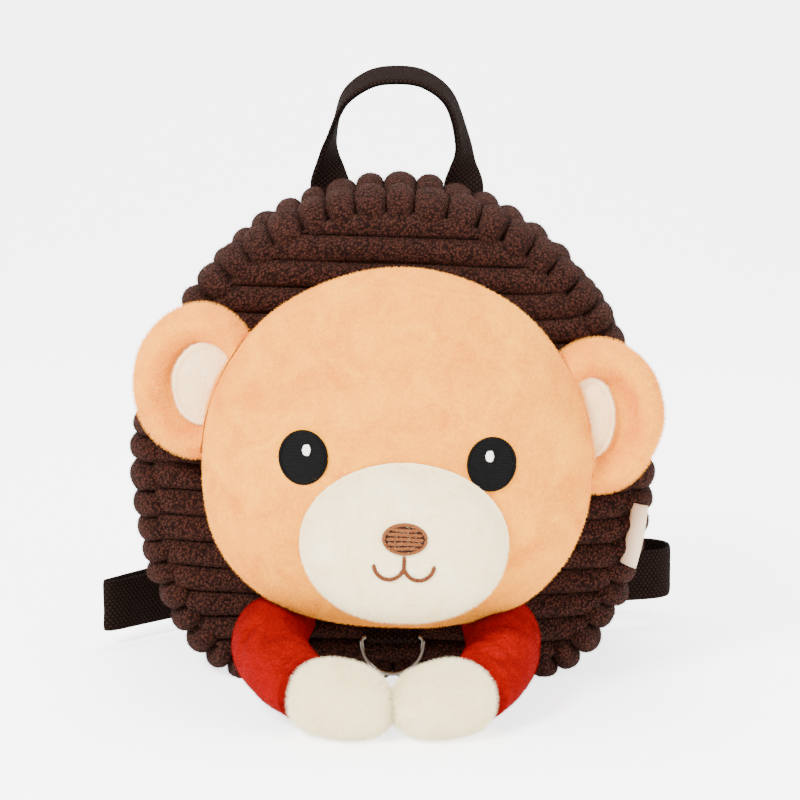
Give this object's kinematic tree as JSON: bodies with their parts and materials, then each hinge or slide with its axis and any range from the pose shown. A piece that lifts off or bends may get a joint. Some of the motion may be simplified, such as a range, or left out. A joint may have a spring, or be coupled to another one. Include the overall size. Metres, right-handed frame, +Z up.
{
  "type": "toddler harness backpack",
  "caption": "Round ribbed-plush toddler backpack with a stuffed bear head and arms on the front, haul handle, D-ring and webbing shoulder straps.",
  "frame": {"origin": "on the floor, under the middle of the whole backpack's box as it stands", "axes": "+Z up, the bear's face looks along -Y, +X to the right of a viewer who faces it"},
  "size_m": [0.2842, 0.2396, 0.2809],
  "materials": {
    "corduroy": "deep ribbed plush pile",
    "webbing": "woven",
    "dark_metal": "satin",
    "tan_plush": "short plush pile",
    "cream_plush": "short plush pile",
    "ear_lining": "short plush pile",
    "black_thread": "satin stitch",
    "white_thread": "satin stitch",
    "brown_thread": "satin stitch",
    "dark_brown_thread": "satin stitch",
    "red_plush": "short plush pile",
    "strap_cloth": "woven, padded",
    "slider_plastic": "satin",
    "ring_steel": "polished nickel plate",
    "label_ribbon": "satin ribbon"
  },
  "bodies": {
    "bag": {"front_panel": "corduroy", "front_gusset": "corduroy", "back_gusset": "corduroy", "back_panel": "corduroy", "zip_tape": "webbing", "zip_slider": "dark_metal", "head": "tan_plush", "muzzle": "cream_plush", "ear_left": "tan_plush", "ear_right": "tan_plush", "ear_lining_left": "ear_lining", "ear_lining_right": "ear_lining", "eye_left": "black_thread", "eye_right": "black_thread", "eye_glint_left": "white_thread", "eye_glint_right": "white_thread", "nose": "brown_thread", "mouth": "dark_brown_thread", "sleeve_left": "red_plush", "sleeve_right": "red_plush", "paw_left": "cream_plush", "paw_right": "cream_plush", "strap_left": "strap_cloth", "strap_right": "strap_cloth", "strap_slider_left": "slider_plastic", "strap_slider_right": "slider_plastic", "webbing_left": "webbing", "webbing_right": "webbing", "handle": "webbing", "d_ring_tab": "webbing", "side_label": "label_ribbon"},
    "ring": {"d_ring": "ring_steel"}
  },
  "joints": [
    {"name": "d_ring_swing", "type": "hinge", "parent": "bag", "child": "ring", "pos_m": [0, -0.02673, 0.0235], "axis": [-1, 0, 0], "range_deg": [0, 90]}
  ]
}
